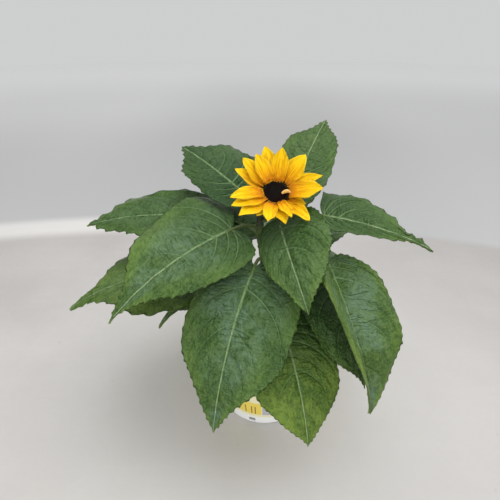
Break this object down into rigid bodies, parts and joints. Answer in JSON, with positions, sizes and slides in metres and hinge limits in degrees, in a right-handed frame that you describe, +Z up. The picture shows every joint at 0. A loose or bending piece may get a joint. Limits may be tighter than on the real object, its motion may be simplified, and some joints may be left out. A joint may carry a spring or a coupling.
{
  "type": "potted sunflower plant",
  "caption": "Dwarf sunflower in a tapered plastic pot: one short stem, large toothed heart-shaped leaves on stalks and a single open yellow flower with a dark disc.",
  "frame": {"origin": "centre of the pot's flat underside", "axes": "+Z up, the flower faces -Y, +X to the right as seen from the front"},
  "size_m": [0.2895, 0.2412, 0.2488],
  "materials": {
    "pot": "thin moulded pot, cream with plain printed panels, satin",
    "soil": "damp dark potting compost",
    "stem": "ribbed hairy green stem, matt",
    "leaf": "living leaf, satin with a waxy bloom and pale veins",
    "sepal": "hairy green flower base, matt",
    "disc": "dark velvety florets",
    "petal": "thin yellow ray petal with fine lengthwise ribs, satin"
  },
  "bodies": {
    "root": {"pot": "pot", "soil": "soil", "stem": "stem", "leaf_front": "leaf", "leaf_left_top": "leaf", "leaf_right_top": "leaf", "leaf_right_front": "leaf", "leaf_low_right_front": "leaf", "leaf_low_front": "leaf", "leaf_left_low": "leaf", "leaf_low_left": "leaf", "leaf_left_back": "leaf", "leaf_right_back": "leaf", "leaf_back_left": "leaf", "leaf_back_right": "leaf", "leaf_low_right": "leaf", "leaf_back_low": "leaf", "leaf_back_low_left": "leaf", "leaf_back_low_right": "leaf", "flower_base": "sepal", "flower_disc": "disc", "petal_1": "petal", "petal_2": "petal", "petal_3": "petal", "petal_4": "petal", "petal_5": "petal", "petal_6": "petal", "petal_7": "petal", "petal_8": "petal", "petal_9": "petal", "petal_10": "petal", "petal_11": "petal", "petal_12": "petal", "petal_13": "petal", "petal_14": "petal", "petal_15": "petal"}
  },
  "joints": []
}
